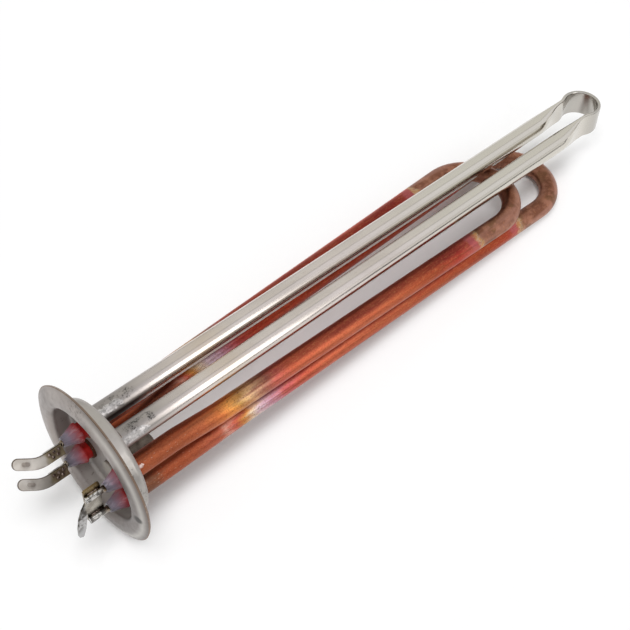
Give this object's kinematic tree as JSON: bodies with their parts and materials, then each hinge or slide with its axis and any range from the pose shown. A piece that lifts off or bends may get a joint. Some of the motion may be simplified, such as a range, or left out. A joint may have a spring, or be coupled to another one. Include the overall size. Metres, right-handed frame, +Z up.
{
  "type": "immersion heater element",
  "caption": "Flange immersion heater: a domed steel flange carrying nested copper heating loops, a bent steel sensor tube and a threaded anode boss, with push-on terminals outside.",
  "frame": {"origin": "centre of the round flange, in the plane of its outer sealing edge", "axes": "+X along the heating loops into the tank, +Z up with the steel sensor tube on top, +Y to the left looking along +X; the terminals are on the -X side"},
  "size_m": [0.2928, 0.064, 0.064],
  "materials": {
    "flange_steel": "pressed stainless sheet, satin, a little scuffed",
    "well_steel": "drawn stainless tube, satin, scorched beside the flange",
    "boss_steel": "turned steel, dark from brazing",
    "copper_short": "copper tube with heat tints",
    "copper_long": "copper tube with heat tints",
    "magnesia": "compacted powder",
    "resistance_wire": "drawn wire",
    "pin_steel": "drawn rod, browned by heat",
    "red_rubber": "moulded, satin",
    "clear_silicone": "cast silicone, cloudy",
    "tab_nickel": "nickel plate, browned round the weld",
    "bridge_nickel": "nickel plate, browned round the welds"
  },
  "bodies": {
    "root": {"anode_boss": "boss_steel", "bridge": "bridge_nickel", "bush_long_left": "red_rubber", "bush_long_right": "red_rubber", "bush_short_left": "red_rubber", "bush_short_right": "red_rubber", "coil_long": "resistance_wire", "coil_short": "resistance_wire", "cone_long_left": "clear_silicone", "cone_long_right": "clear_silicone", "cone_short_left": "clear_silicone", "cone_short_right": "clear_silicone", "fill_long": "magnesia", "fill_short": "magnesia", "flange": "flange_steel", "pin_long_left": "pin_steel", "pin_long_right": "pin_steel", "pin_short_left": "pin_steel", "pin_short_right": "pin_steel", "sensor_well": "well_steel", "sheath_long": "copper_long", "sheath_short": "copper_short", "tab_long": "tab_nickel", "tab_short": "tab_nickel"}
  },
  "joints": []
}
